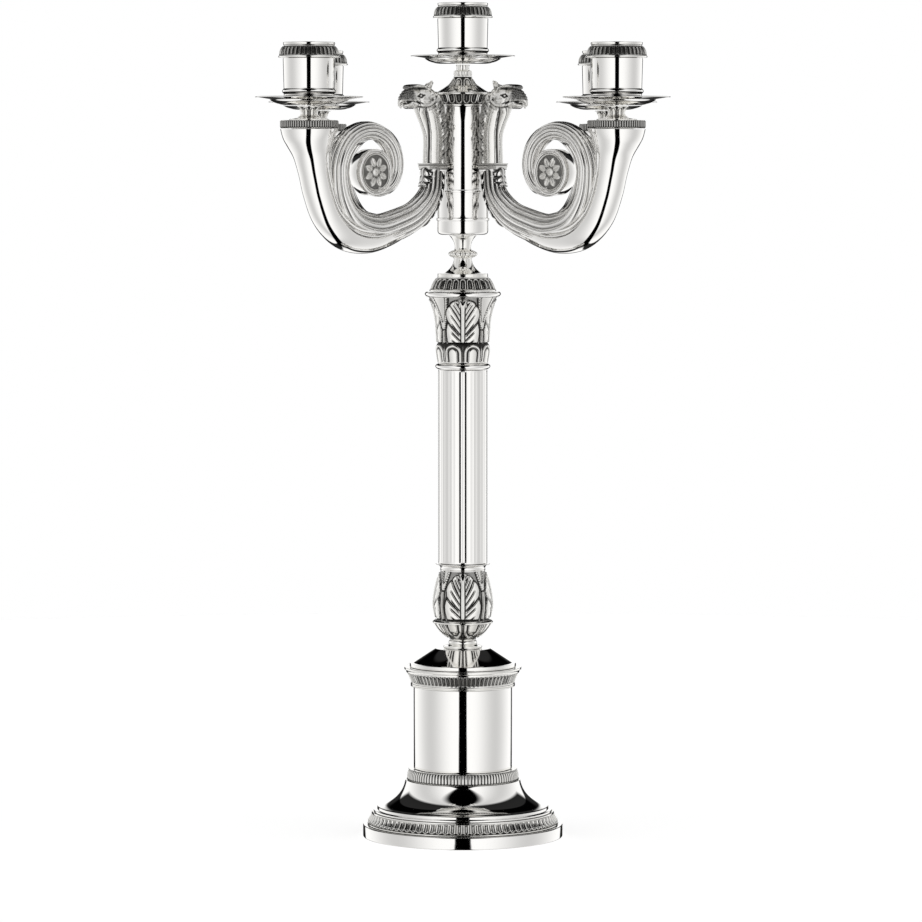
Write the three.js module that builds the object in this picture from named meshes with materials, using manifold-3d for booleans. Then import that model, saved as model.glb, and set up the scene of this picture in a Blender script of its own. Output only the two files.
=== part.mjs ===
// A silver candelabrum: a weighted plinth, a fluted column, and a lift-off branch that carries
// four horn-shaped arms and a centre light. Millimetres, +Z up, origin at the middle of the foot,
// front towards -Y, arms on the diagonals.
import * as THREE from 'three';
import { mergeVertices } from 'three/addons/utils/BufferGeometryUtils.js';
import Module from 'manifold-3d';

const wasm = await Module();
wasm.setup();

// Driving dimensions
const GAP = 0.3;                 // clearance between pieces that meet
const FOOT_R = 66.2;             // radius of the foot rim
const DRUM_R = 32.6;             // radius of the plinth drum
const SHAFT_R = 16.2;            // radius of the fluted shaft
const HUB_R = 15.9;              // radius of the hub tube
const SEAT_Z = 361.4;            // underside of the lift-off branch
const CENTRE_PAN_Z = 509.9;      // underside of the centre drip pan
const ARM_DROP = 28.5;           // how much lower the arm lights stand
const ARM_REACH = 137.8;         // radial distance of an arm light
const ROD_R = 3;                 // tie rod
const ROD_BORE_R = 3.5;          // clearance bore for the tie rod
const SPIGOT_R = 7.2;            // spigot that turns in the column's socket
const SOCKET_R = 7.7;            // bore of that socket
const CANDLE_BORE_R = 11.5;      // fits a 22 mm household candle
const NOZZLE_R = 12.6;           // outside of the nozzle's tube
const CUP_BORE_R = 13.2;         // bore of the candle cup
const EYE = { rho: 83.5, z: 439.4, r: 14.8, half: 5.2 };  // disc at the end of the scroll
const ROSETTE_R = 12;
const STUD_R = 3;
const COLLAR_Z = 441;            // underside of the collar below an eagle's neck
const PEG_Z = 443.1;               // height of the peg that holds an arm to the hub
const PEG_R = 2;

// Facets round each kind of turned piece
const WIDE = 20;
const MEDIUM = 16;
const SMALL = 12;
const FINE = 10;

const SILVER = { color: 0xdedcd8, roughness: 0.08, metalness: 1 };
const DARK_SILVER = { color: 0xa9a6a0, roughness: 0.3, metalness: 1 };
const STEEL = { color: 0x8b8d90, roughness: 0.4, metalness: 1 };
const FELT = { color: 0x1f3a2a, roughness: 0.95, metalness: 0 };
const IRON = { color: 0x3c3c3e, roughness: 0.7, metalness: 1 };

const candelabrum = new THREE.Group();

function addPiece(parent, name, geometry, finish) {
  const mesh = new THREE.Mesh(geometry, new THREE.MeshStandardMaterial(finish));
  mesh.name = name;
  parent.add(mesh);
  return mesh;
}

// Turns a profile of [radius, height] points about the Z axis
function turned(profile, facets, shift = 0) {
  const points = profile.map(([radius, height]) => new THREE.Vector2(radius, height + shift));
  return new THREE.LatheGeometry(points, facets).rotateX(Math.PI / 2);
}

// Turns a profile that closes on itself, for a ring or a tube
function ring(profile, facets, shift = 0) {
  return turned([...profile, profile[0]], facets, shift);
}

// A ring or disc of rectangular section
function washer(inner, outer, bottom, top, facets) {
  return ring([[inner, bottom], [outer, bottom], [outer, top], [inner, top]], facets);
}

// A solid rod along Z
function rod(radius, bottom, top, facets) {
  return turned([[0, bottom], [radius, bottom], [radius, top], [0, top]], facets);
}

// A hexagonal nut on the Z axis
function hexNut(acrossCorners, boreRadius, bottom, height) {
  const outline = new THREE.Shape();
  for (let corner = 0; corner < 6; corner += 1) {
    const angle = corner * Math.PI / 3;
    const point = [acrossCorners / 2 * Math.cos(angle), acrossCorners / 2 * Math.sin(angle)];
    if (corner === 0) outline.moveTo(...point);
    else outline.lineTo(...point);
  }
  outline.closePath();
  outline.holes.push(new THREE.Path().absarc(0, 0, boreRadius, 0, Math.PI * 2, true));
  const nut = new THREE.ExtrudeGeometry(outline, { depth: height, bevelEnabled: false, curveSegments: 6 });
  return nut.translate(0, 0, bottom);
}

function toManifold(geometry) {
  const bare = geometry.clone();
  bare.deleteAttribute('normal');
  bare.deleteAttribute('uv');
  const merged = mergeVertices(bare, 1e-4);
  const index = merged.getIndex().array;
  const kept = [];
  for (let i = 0; i < index.length; i += 3) {
    const [a, b, c] = [index[i], index[i + 1], index[i + 2]];
    if (a !== b && b !== c && c !== a) kept.push(a, b, c);
  }
  return new wasm.Manifold(new wasm.Mesh({
    numProp: 3,
    vertProperties: new Float32Array(merged.getAttribute('position').array),
    triVerts: new Uint32Array(kept),
  }));
}

function fromManifold(solid) {
  const { vertProperties, triVerts } = solid.getMesh();
  const geometry = new THREE.BufferGeometry();
  geometry.setAttribute('position', new THREE.BufferAttribute(vertProperties, 3));
  geometry.setIndex(new THREE.BufferAttribute(triVerts, 1));
  geometry.computeVertexNormals();
  return geometry;
}

// Skins a closed solid over stations { x, z, inPlane, across } in the XZ plane. Each station is an
// ellipse, square to the path unless it gives its own tilt.
function skinned(stations, sides) {
  const positions = [];
  const triangles = [];
  stations.forEach((station, i) => {
    const before = stations[Math.max(i - 1, 0)];
    const after = stations[Math.min(i + 1, stations.length - 1)];
    const along = Math.atan2(after.z - before.z, after.x - before.x);
    const tilt = station.tilt ?? along;
    for (let side = 0; side < sides; side += 1) {
      const angle = (side + 0.5) / sides * Math.PI * 2;
      const offset = station.inPlane * Math.cos(angle);
      positions.push(
        station.x - offset * Math.sin(tilt),
        station.across * Math.sin(angle),
        station.z + offset * Math.cos(tilt),
      );
    }
  });
  const at = (i, side) => i * sides + (side % sides);
  for (let i = 0; i < stations.length - 1; i += 1) {
    for (let side = 0; side < sides; side += 1) {
      triangles.push(at(i, side), at(i + 1, side), at(i, side + 1));
      triangles.push(at(i, side + 1), at(i + 1, side), at(i + 1, side + 1));
    }
  }
  const last = stations.length - 1;
  for (let side = 1; side < sides - 1; side += 1) {
    triangles.push(at(0, 0), at(0, side), at(0, side + 1));
    triangles.push(at(last, 0), at(last, side + 1), at(last, side));
  }
  const geometry = new THREE.BufferGeometry();
  geometry.setAttribute('position', new THREE.Float32BufferAttribute(positions, 3));
  geometry.setIndex(triangles);
  geometry.computeVertexNormals();
  return geometry;
}

// Evenly spaced stations along a smooth line through [x, z, inPlane, across] knots
function smoothStations(knots, count) {
  const line = new THREE.CatmullRomCurve3(knots.map(([x, z]) => new THREE.Vector3(x, 0, z)));
  const sizes = new THREE.CatmullRomCurve3(knots.map(([, , a, b]) => new THREE.Vector3(a, b, 0)));
  return Array.from({ length: count }, (_, i) => {
    const t = i / (count - 1);
    const place = line.getPoint(t);
    const size = sizes.getPoint(t);
    return { x: place.x, z: place.z, inPlane: size.x, across: size.y };
  });
}

// The plinth: felt, closing plate, weight and the stacked turned shells
function makePlinth(parent) {
  addPiece(parent, 'felt_pad', rod(60, 0, 1.6, WIDE), FELT);
  addPiece(parent, 'base_nut', hexNut(12, 3.4, 2, 4.3), STEEL);
  addPiece(parent, 'base_plate', washer(ROD_BORE_R, 59.8, 6.7, 8.7, WIDE), STEEL);
  addPiece(parent, 'foot', ring([
    [61, 0.5], [64.6, 0.5], [FOOT_R, 2.3], [FOOT_R, 7.2], [64.6, 8.7], [61, 8.7],
  ], WIDE), SILVER);
  addPiece(parent, 'foot_band', ring([
    [57, 9], [63, 9], [62.5, 12], [60.3, 17.3], [57, 17.3],
  ], WIDE), DARK_SILVER);
  addPiece(parent, 'foot_dome', ring([
    [55, 17.6], [59.2, 17.6], [59.2, 18.7], [56.4, 19], [56.2, 20.9], [48.2, 23], [43, 28.7],
    [38, 38.2], [35.6, 38.2], [41.2, 27.8], [47, 21.4], [55, 19.2],
  ], WIDE), SILVER);
  addPiece(parent, 'reeded_ring', ring([
    [30.6, 38.5], [37.1, 38.5], [36.4, 42], [35.3, 45.7], [30.6, 45.7],
  ], WIDE), DARK_SILVER);
  addPiece(parent, 'plinth_drum', washer(31.2, DRUM_R, 46, 100.1, WIDE), SILVER);
  addPiece(parent, 'ballast', washer(ROD_BORE_R, 30.4, 46.3, 99.8, WIDE), IRON);
  addPiece(parent, 'plinth_collar', ring([
    [30, 100.4], [34.5, 100.4], [34.5, 103.3], [36.9, 108.7], [38.7, 111.9], [38.7, 113.2], [30, 113.2],
  ], WIDE), DARK_SILVER);
  addPiece(parent, 'plinth_cap', ring([
    [ROD_BORE_R, 113.5], [35.1, 113.5], [35.1, 116], [18.5, 125.4], [ROD_BORE_R, 125.4],
  ], WIDE), SILVER);
}

// The column: everything threaded on the tie rod between the plinth and the branch
function makeColumn(parent) {
  addPiece(parent, 'tie_rod', rod(ROD_R, 2.4, 331, FINE), STEEL);
  addPiece(parent, 'baluster', ring([
    [ROD_BORE_R, 125.7], [12.7, 125.7], [8.7, 128], [8.5, 131.3], [19.2, 142.2], [20, 142.9],
    [18.8, 144.4], [20.2, 154.5], [15.5, 176.6], [ROD_BORE_R, 176.6],
  ], MEDIUM), DARK_SILVER);
  addPiece(parent, 'lower_ring', ring([
    [ROD_BORE_R, 176.9], [14.7, 176.9], [14.9, 179.3], [18, 181.7], [ROD_BORE_R, 181.7],
  ], MEDIUM), SILVER);
  addPiece(parent, 'fluted_shaft', washer(14.6, SHAFT_R, 182, 309.6, WIDE), SILVER);
  addPiece(parent, 'upper_ring', ring([
    [ROD_BORE_R, 309.9], [16.6, 309.9], [18.2, 312], [16.6, 314], [ROD_BORE_R, 314],
  ], MEDIUM), SILVER);
  addPiece(parent, 'capital', ring([
    [ROD_BORE_R, 314.3], [16.5, 314.3], [18, 326.7], [18.6, 340], [23.8, 357.7], [9.5, 357.7],
    [9.5, 324], [ROD_BORE_R, 324],
  ], MEDIUM), DARK_SILVER);
  addPiece(parent, 'top_nut', hexNut(12, 3.4, 324.3, 4.7), STEEL);
  addPiece(parent, 'socket_tube', washer(SOCKET_R, 8.9, 331.5, 357.7, MEDIUM), STEEL);
  addPiece(parent, 'abacus_ring', ring([
    [8.2, 358], [24.3, 358], [25.1, 359.5], [24.3, 361.1], [8.2, 361.1],
  ], MEDIUM), SILVER);
}

// The middle of the lift-off branch, from its spigot up to the centre light's stem
function makeHub(parent) {
  addPiece(parent, 'spigot', turned([
    [0, 333.5], [6.2, 333.5], [SPIGOT_R, 335], [SPIGOT_R, 372], [0, 372],
  ], MEDIUM), STEEL);
  const spigotSeatR = SPIGOT_R + GAP + 0.1;
  addPiece(parent, 'branch_cap', turned([
    [0, 372.4], [spigotSeatR, 372.4], [spigotSeatR, SEAT_Z], [21.9, SEAT_Z], [21.6, 362.8],
    [17.2, 370.6], [16.4, 373], [9.5, 376.6], [5.7, 382.4], [0, 382.4],
  ], MEDIUM), DARK_SILVER);
  addPiece(parent, 'knop_stem', turned([
    [0, 382.7], [6, 382.7], [9.8, 384.5], [9.8, 387.2], [5.1, 389.5], [5.7, 393.5], [8.8, 398.1], [0, 398.1],
  ], SMALL), SILVER);
  addPiece(parent, 'hub_drum', turned([
    [0, 398.4], [15.2, 398.4], [16.7, 400], [17.4, 408.4], [16.6, 410], [16.6, 427.6], [14.4, 427.6],
    [14.4, 401], [0, 401],
  ], MEDIUM), SILVER);
  addPiece(parent, 'hub_tube', makeHubTube(), SILVER);
  addPiece(parent, 'hub_crown', ring([
    [12.5, 482.6], [16.2, 482.6], [18.4, 490.1], [19.5, 491.3], [12.5, 491.3],
  ], MEDIUM), DARK_SILVER);
  addPiece(parent, 'hub_cap', turned([
    [0, 491.6], [18.5, 491.6], [10.8, 495.8], [6.2, 501.9], [0, 501.9],
  ], MEDIUM), SILVER);
  addPiece(parent, 'centre_stem', turned([
    [0, 502.2], [6, 502.2], [6, 505.7], [4.2, 506.4], [4.6, 509.6], [0, 509.6],
  ], SMALL), SILVER);
}

// The hub tube, drilled for the four arm pegs
function makeHubTube() {
  let tube = toManifold(washer(14.4, HUB_R, 427.9, 482.3, MEDIUM));
  for (const turn of armTurns()) {
    const drill = rod(PEG_R + GAP + 0.1, HUB_R - 6, HUB_R + 2, FINE);
    drill.rotateY(Math.PI / 2).translate(0, 0, PEG_Z).rotateZ(turn);
    tube = tube.subtract(toManifold(drill));
  }
  return fromManifold(tube);
}

function armTurns() {
  return [0, 1, 2, 3].map((i) => Math.PI / 4 + i * Math.PI / 2);
}

// The ribbed band of an arm, from below the collar, under and up, and round its scroll
function scrollStations() {
  const sweep = smoothStations([
    [27.3, COLLAR_Z - GAP, 8.4, 5.2], [30, 426, 8.6, 5.8], [42, 413, 9.6, 7], [62, 403.8, 11.6, 8.5],
    [83, 399.5, 12.3, 9.5], [103, 406, 10.5, 9], [113.5, 423, 7.8, 7.8], [115.5, EYE.z, 6.2, 7.2],
  ], 12);
  const spiralSteps = 9;
  for (let i = 1; i <= spiralSteps; i += 1) {
    const t = i / spiralSteps;
    const angle = t * Math.PI * 1.45;
    const radius = 32 - 20.5 * t ** 1.3;
    sweep.push({
      x: EYE.rho + radius * Math.cos(angle),
      z: EYE.z + radius * Math.sin(angle),
      inPlane: 6.2 - 2.4 * t,
      across: 7.2 - 2.2 * t,
    });
  }
  sweep[0].tilt = Math.PI * 1.5;
  return sweep;
}

// The plain horn that grows out of the band and opens into the mouth
function hornStations() {
  const mouth = { x: ARM_REACH, z: 466.7, inPlane: 18, across: 18, tilt: Math.PI / 2 };
  const run = smoothStations([
    [66, 403, 8, 8], [90, 396.8, 9.8, 9.8], [108, 400.5, 10.6, 10.6], [121, 411, 10.5, 10.5],
    [128.5, 427, 10.5, 10.5], [132, 443, 10.8, 10.8], [135, 456, 12.4, 12.4],
  ], 8);
  return [...run, { x: 136.6, z: 462, inPlane: 14.8, across: 14.8 }, mouth];
}

function makeArmGeometry() {
  const faceDown = (geometry) => geometry.rotateX(Math.PI / 2).translate(EYE.rho, 0, EYE.z);
  const eye = faceDown(rod(EYE.r, -EYE.half, EYE.half, MEDIUM));
  const bore = faceDown(rod(STUD_R + GAP + 0.1, -EYE.half - 1, EYE.half + 1, FINE));
  const recessFloor = EYE.half - 1.6;
  const recessFront = faceDown(rod(ROSETTE_R + 0.5, recessFloor, EYE.half + 1, MEDIUM));
  const recessBack = faceDown(rod(ROSETTE_R + 0.5, -EYE.half - 1, -recessFloor, MEDIUM));
  const arm = toManifold(skinned(scrollStations(), 6))
    .add(toManifold(skinned(hornStations(), 8)))
    .add(toManifold(eye))
    .subtract(toManifold(recessFront))
    .subtract(toManifold(recessBack))
    .subtract(toManifold(bore));
  return fromManifold(arm);
}

// A stud through the scroll's eye with a rosette on each end
function makeRosetteGeometry() {
  const inner = EYE.half - 1.6 + GAP;
  const outer = EYE.half - 0.2;
  const stud = turned([
    [0, -outer], [ROSETTE_R, -outer], [ROSETTE_R, -inner], [STUD_R, -inner], [STUD_R, inner],
    [ROSETTE_R, inner], [ROSETTE_R, outer], [0, outer],
  ], SMALL);
  return stud.rotateX(Math.PI / 2).translate(EYE.rho, 0, EYE.z);
}

// A generic eagle's head and neck on its square collar, with the peg that enters the hub tube
function makeEagleGeometry() {
  const level = { tilt: Math.PI / 2 };
  const collarHeight = 4.2;
  const collar = new THREE.BoxGeometry(17.8, 11, collarHeight);
  collar.translate(27.3, 0, COLLAR_Z + collarHeight / 2);
  const neck = skinned([
    { x: 26.6, z: 443, inPlane: 8, across: 5, ...level },
    { x: 25.6, z: 456, inPlane: 7.2, across: 4.6, ...level },
    { x: 26.8, z: 467, inPlane: 7.2, across: 4.6, ...level },
    { x: 31, z: 478, inPlane: 9, across: 5.4, ...level },
    { x: 36, z: 487, inPlane: 9.5, across: 6, ...level },
  ], 8);
  const skull = new THREE.SphereGeometry(1, 8, 6);
  skull.scale(11.5, 6.8, 8).translate(37, 0, 487.2);
  const beak = skinned([
    { x: 43, z: 487.6, inPlane: 6.6, across: 5 }, { x: 51, z: 488.4, inPlane: 5.6, across: 3.6 },
    { x: 56.4, z: 486.4, inPlane: 3.4, across: 2.2 }, { x: 59, z: 481.8, inPlane: 0.8, across: 0.8 },
  ], 6);
  const peg = rod(PEG_R, 12.8, 22, FINE).rotateY(Math.PI / 2).translate(0, 0, PEG_Z);
  return fromManifold([collar, neck, skull, beak, peg].map(toManifold).reduce((a, b) => a.add(b)));
}

// Reeded ring that closes a horn's mouth, with the stem that carries the light
function makeMouthCapGeometry() {
  return turned([
    [0, 467], [18.6, 467], [18.6, 472.2], [12.5, 472.6], [7.7, 473.6], [5.4, 476.5], [7.7, 481.1], [0, 481.1],
  ], SMALL);
}

function makeDripPanGeometry() {
  return turned([
    [0, 0], [15, 0], [25.4, 3.7], [34.4, 5.2], [34.4, 5.8], [24.8, 4.8], [15, 1.4], [0, 1.4],
  ], MEDIUM);
}

function makeCandleCupGeometry() {
  return turned([
    [0, 1.7], [13.6, 1.7], [16.1, 4.6], [16.1, 7.4], [17.2, 9], [16.2, 10.8], [16.7, 30],
    [CUP_BORE_R, 30], [CUP_BORE_R, 8], [0, 8],
  ], SMALL);
}

function makeNozzleGeometry() {
  return turned([
    [0, 9], [NOZZLE_R, 9], [NOZZLE_R, 30.3], [19.6, 30.3], [18.9, 31.8], [16.2, 38.3], [16.3, 40.1],
    [CANDLE_BORE_R, 40.1], [CANDLE_BORE_R, 10.4], [0, 10.4],
  ], SMALL);
}

const LIGHT = {
  drip_pan: makeDripPanGeometry(),
  candle_cup: makeCandleCupGeometry(),
  nozzle: makeNozzleGeometry(),
};

// Pan, cup and nozzle, named for the place of their light
function addLight(parent, place, reach, bottom) {
  const light = new THREE.Group();
  light.position.set(reach, 0, bottom);
  for (const [kind, geometry] of Object.entries(LIGHT)) {
    addPiece(light, `${kind}_${place}`, geometry, SILVER);
  }
  parent.add(light);
}

function makeArms(parent) {
  const geometries = {
    arm: makeArmGeometry(),
    eagle: makeEagleGeometry(),
    rosette: makeRosetteGeometry(),
  };
  const mouthCap = makeMouthCapGeometry();
  const places = ['back_right', 'back_left', 'front_left', 'front_right'];
  armTurns().forEach((turn, i) => {
    const arm = new THREE.Group();
    arm.rotation.z = turn;
    for (const [kind, geometry] of Object.entries(geometries)) {
      addPiece(arm, `${kind}_${places[i]}`, geometry, kind === 'arm' ? SILVER : DARK_SILVER);
    }
    addPiece(arm, `mouth_cap_${places[i]}`, mouthCap, SILVER).position.x = ARM_REACH;
    addLight(arm, places[i], ARM_REACH, CENTRE_PAN_Z - ARM_DROP);
    parent.add(arm);
  });
}

makePlinth(candelabrum);
makeColumn(candelabrum);
makeHub(candelabrum);
makeArms(candelabrum);
addLight(candelabrum, 'centre', 0, CENTRE_PAN_Z);

export default candelabrum;
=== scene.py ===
"""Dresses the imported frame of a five-light silver candelabrum with its finished silverwork.

The frame gives every place. Sizes in the classes are millimetres, turned into metres where a mesh
is made. Turned pieces are spun from an outline, chased with relief and blackened in the hollows.
"""

import logging
import math
from dataclasses import dataclass
from enum import Enum

import bpy
import numpy as np
from mathutils import Matrix, Vector


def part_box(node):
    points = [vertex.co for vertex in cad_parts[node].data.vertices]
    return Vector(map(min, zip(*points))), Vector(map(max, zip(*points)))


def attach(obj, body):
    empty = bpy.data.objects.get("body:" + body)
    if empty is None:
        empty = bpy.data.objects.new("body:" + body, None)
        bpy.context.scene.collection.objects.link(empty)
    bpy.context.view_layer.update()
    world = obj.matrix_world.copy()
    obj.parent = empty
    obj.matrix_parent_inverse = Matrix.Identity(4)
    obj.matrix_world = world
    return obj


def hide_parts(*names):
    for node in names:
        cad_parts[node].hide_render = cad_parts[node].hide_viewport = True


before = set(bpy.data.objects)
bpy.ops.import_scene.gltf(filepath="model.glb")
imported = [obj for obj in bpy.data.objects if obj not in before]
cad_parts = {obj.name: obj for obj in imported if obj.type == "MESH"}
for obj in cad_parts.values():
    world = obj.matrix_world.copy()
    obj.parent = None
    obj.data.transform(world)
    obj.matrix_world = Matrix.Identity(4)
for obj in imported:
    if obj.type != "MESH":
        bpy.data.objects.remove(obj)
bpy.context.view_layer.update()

log = logging.getLogger("candelabrum")

MM = 0.001
WELD = 2e-6
QUARTER_TURN = math.pi / 2
PLACES = {"back_right": 45, "back_left": 135, "front_left": 225, "front_right": 315}

Piece = bpy.types.Object
Array = np.ndarray
Colour = tuple[float, float, float]


class Body(Enum):
    """The rigid bodies that pieces ride on."""

    BASE = "base"
    SPIGOT = "spigot"
    BRANCH = "branch"


class Slot(Enum):
    """The record's material slots."""

    POLISHED = "polished_silver"
    RELIEF = "relief_silver"
    SATIN = "satin_silver"
    STEEL = "steel"
    IRON = "iron"
    FELT = "felt"


# ---------------------------------------------------------------- finishes


@dataclass(frozen=True)
class Graph:
    """A shader's nodes, with short ways to add to them."""

    tree: bpy.types.NodeTree

    def fill(self, node: bpy.types.Node, inputs: dict) -> None:
        """Fills a node's inputs.

        Args:
            node: The node.
            inputs: A value, or the socket to link, for each input's name or number.
        """
        for key, value in inputs.items():
            if isinstance(value, bpy.types.NodeSocket):
                self.tree.links.new(value, node.inputs[key])
            elif value is not None:
                node.inputs[key].default_value = value

    def add(self, kind: str, inputs: dict | None = None, **settings: object) -> bpy.types.Node:
        """Adds a node.

        Args:
            kind: The node's type, less the ShaderNode at its start.
            inputs: What its inputs are filled with.
            **settings: The node's own properties.

        Returns:
            The new node.
        """
        node = self.tree.nodes.new(f"ShaderNode{kind}")
        for name, value in settings.items():
            setattr(node, name, value)
        self.fill(node, inputs or {})
        return node

    def maths(self, kind: str, first: object, second: object = 0.0) -> bpy.types.NodeSocket:
        """Adds one step of arithmetic on values or sockets, and returns its result."""
        return self.add("Math", {0: first, 1: second}, operation=kind).outputs[0]

    def ramp(self, value: bpy.types.NodeSocket, start: float, end: object, low: float, high: float,
             shape: str = "SMOOTHSTEP") -> bpy.types.NodeSocket:
        """Maps a value from one range to another.

        Args:
            value: The value.
            start: Where the change starts.
            end: Where it ends, a number or a socket.
            low: Result at the start.
            high: Result at the end.
            shape: How the change runs.

        Returns:
            The mapped value's socket.
        """
        inputs = {"Value": value, "From Min": start, "From Max": end, "To Min": low, "To Max": high}
        return self.add("MapRange", inputs, interpolation_type=shape).outputs["Result"]

    def noise(self, scale: float, detail: float) -> bpy.types.NodeSocket:
        """Adds noise that is fixed to the piece, from 0 to 1, and returns its socket."""
        place = self.add("TexCoord").outputs["Object"]
        return self.add("TexNoise", {"Scale": scale, "Detail": detail, "Vector": place}).outputs["Fac"]

    def dress(self, **inputs: object) -> None:
        """Fills the inputs of the material's own shader, by their names with _ for a space."""
        self.fill(self.tree.nodes["Principled BSDF"],
                  {name.replace("_", " "): value for name, value in inputs.items()})


@dataclass(frozen=True)
class Silver:
    """Bright metal darkened wherever the vertex attribute says, by tarnish and in places by painted
    shade, and with the waves of hand polishing.
    """

    name: str
    bright: Colour = (0.93, 0.92, 0.90)
    dark: Colour = (0.014, 0.013, 0.012)
    gloss: float = 0.035
    haze: float = 0.03
    dark_rough: float = 0.5
    wave: float = 0.0
    grain: float = 0.0
    patina_and_shade: float = 0.0
    cloud_scale: float = 55.0
    wave_scale: float = 38.0
    grain_scale: float = 900.0

    def paint(self, graph: Graph) -> None:
        """Lays the finish on a material.

        Args:
            graph: The material's nodes.
        """
        cloud = graph.noise(self.cloud_scale, 3.0)
        rough = graph.ramp(cloud, 0.0, 1.0, self.gloss, self.gloss + self.haze, "LINEAR")
        colour = (*self.bright, 1)
        if self.patina_and_shade:
            darkening = graph.add("Attribute", attribute_name="patina_and_shade").outputs["Fac"]
            amount = graph.ramp(darkening, 0.0, 1.0, 0.0, self.patina_and_shade, "LINEAR")
            colour = graph.add("Mix", {"Factor": amount, 6: colour, 7: (*self.dark, 1)},
                               data_type="RGBA").outputs[2]
            mixed = graph.add("Mix", {"Factor": amount, "A": rough, "B": self.dark_rough})
            rough = mixed.outputs["Result"]
        normal = None
        for scale, depth in ((self.wave_scale, self.wave), (self.grain_scale, self.grain)):
            if depth:
                normal = graph.add("Bump", {"Strength": 1.0, "Distance": depth, "Normal": normal,
                                            "Height": graph.noise(scale, 2.0)}).outputs["Normal"]
        graph.dress(Metallic=1.0, Base_Color=colour, Roughness=rough, Normal=normal)


@dataclass(frozen=True)
class Plain:
    """A plain finish for what is hidden or soft: steel, iron and felt."""

    name: str
    colours: tuple[Colour, Colour]
    metallic: float
    roughness: float
    scale: float
    depth: float

    def paint(self, graph: Graph) -> None:
        """Lays the finish on a material.

        Args:
            graph: The material's nodes.
        """
        noise = graph.noise(self.scale, 6.0)
        shades = graph.add("ValToRGB", {"Fac": noise})
        for stop, colour in zip(shades.color_ramp.elements, self.colours):
            stop.color = (*colour, 1)
        normal = graph.add("Bump", {"Distance": self.depth, "Height": noise}).outputs["Normal"]
        graph.dress(Metallic=self.metallic, Roughness=self.roughness,
                    Base_Color=shades.outputs["Color"], Normal=normal)


MIRROR = Silver("mirror_silver", wave=0.00002)
RELIEF = Silver("oxidised_silver", bright=(0.9, 0.89, 0.86), gloss=0.07, haze=0.06, patina_and_shade=0.97,
                wave=0.00002)
CHASED = Silver("chased_silver", bright=(0.82, 0.81, 0.78), gloss=0.22, haze=0.12, patina_and_shade=0.92,
                wave=0.00003, grain=0.00002)
HORN = Silver("horn_silver", gloss=0.04, patina_and_shade=0.96, wave=0.00002)
PLUMAGE = Silver("plumage_silver", bright=(0.9, 0.89, 0.86), gloss=0.12, haze=0.08, patina_and_shade=0.95,
                 wave=0.00003, grain=0.00001)
STEEL = Plain("turned_steel", ((0.32, 0.32, 0.33), (0.45, 0.45, 0.46)), 1.0, 0.35, 400.0, 0.00002)
IRON = Plain("cast_weight", ((0.03, 0.03, 0.03), (0.09, 0.088, 0.085)), 0.6, 0.8, 260.0, 0.0002)
FELT = Plain("green_felt", ((0.012, 0.045, 0.028), (0.03, 0.085, 0.055)), 0.0, 0.95, 2600.0, 0.0003)


def dress_with(thing: Piece, finish: Silver | Plain) -> None:
    """Gives a piece a finish alone.

    Args:
        thing: The piece.
        finish: The finish, made once and shared.
    """
    made = bpy.data.materials.get(finish.name)
    if not made:
        made = bpy.data.materials.new(finish.name)
        made.use_nodes = True
        finish.paint(Graph(made.node_tree))
    thing.data.materials.clear()
    thing.data.materials.append(made)


# ---------------------------------------------------------------- shared mesh work


def deselect() -> None:
    """Leaves object mode with nothing selected."""
    if bpy.context.object and bpy.context.object.mode != "OBJECT":
        bpy.ops.object.mode_set(mode="OBJECT")
    bpy.ops.object.select_all(action="DESELECT")


def pick(*things: Piece) -> Piece:
    """Selects pieces alone.

    Args:
        *things: The pieces, of which the first becomes the active one.

    Returns:
        The first piece.
    """
    deselect()
    for thing in things:
        thing.select_set(True)
    bpy.context.view_layer.objects.active = things[0]
    return things[0]


def new_object(name: str, points: Array, edges: list, faces: list) -> Piece:
    """Makes a mesh object at the origin.

    Args:
        name: The object's name.
        points: One row for each vertex, in metres.
        edges: Pairs of vertices.
        faces: Lists of vertices.

    Returns:
        The new object, selected alone.
    """
    mesh = bpy.data.meshes.new(name)
    mesh.from_pydata(points, edges, faces)
    mesh.update()
    thing = bpy.data.objects.new(name, mesh)
    bpy.context.scene.collection.objects.link(thing)
    return pick(thing)


def quads(rows: int, columns: int, closed: bool = True) -> list[tuple]:
    """Lists the faces of a grid of points that are numbered row by row.

    Args:
        rows: How many rows the grid has.
        columns: How many points each row has.
        closed: Whether each row's last point joins its first.

    Returns:
        Four vertices for each face.
    """
    return [(i * columns + j, i * columns + (j + 1) % columns,
             (i + 1) * columns + (j + 1) % columns, (i + 1) * columns + j)
            for i in range(rows - 1) for j in range(columns if closed else columns - 1)]


def face_outwards(thing: Piece, weld: float = 0.0) -> None:
    """Turns every face of a closed mesh outwards.

    Args:
        thing: The piece.
        weld: Distance below which vertices are first merged, in metres.
    """
    pick(thing)
    bpy.ops.object.mode_set(mode="EDIT")
    bpy.ops.mesh.select_all(action="SELECT")
    if weld:
        bpy.ops.mesh.remove_doubles(threshold=weld)
    bpy.ops.mesh.normals_make_consistent(inside=False)
    bpy.ops.object.mode_set(mode="OBJECT")


def modify(thing: Piece, kind: str, **settings: object) -> None:
    """Adds a modifier to a piece and applies it.

    Args:
        thing: The piece.
        kind: The modifier's type.
        **settings: The modifier's properties.
    """
    pick(thing)
    bpy.ops.object.modifier_add(type=kind)
    modifier = thing.modifiers[-1]
    for name, value in settings.items():
        setattr(modifier, name, value)
    bpy.ops.object.modifier_apply(modifier=modifier.name)


def read_rows(thing: Piece, what: str) -> Array:
    """Reads a vector of every vertex.

    Args:
        thing: The piece.
        what: "co" for the place, in metres, or "normal".

    Returns:
        One row for each vertex.
    """
    flat = np.zeros(len(thing.data.vertices) * 3, np.float32)
    thing.data.vertices.foreach_get(what, flat)
    return flat.reshape(-1, 3).astype(float)


def put(thing: Piece, points: Array) -> None:
    """Writes a mesh's vertices back."""
    thing.data.vertices.foreach_set("co", points.astype(np.float32).ravel())
    thing.data.update()


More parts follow.
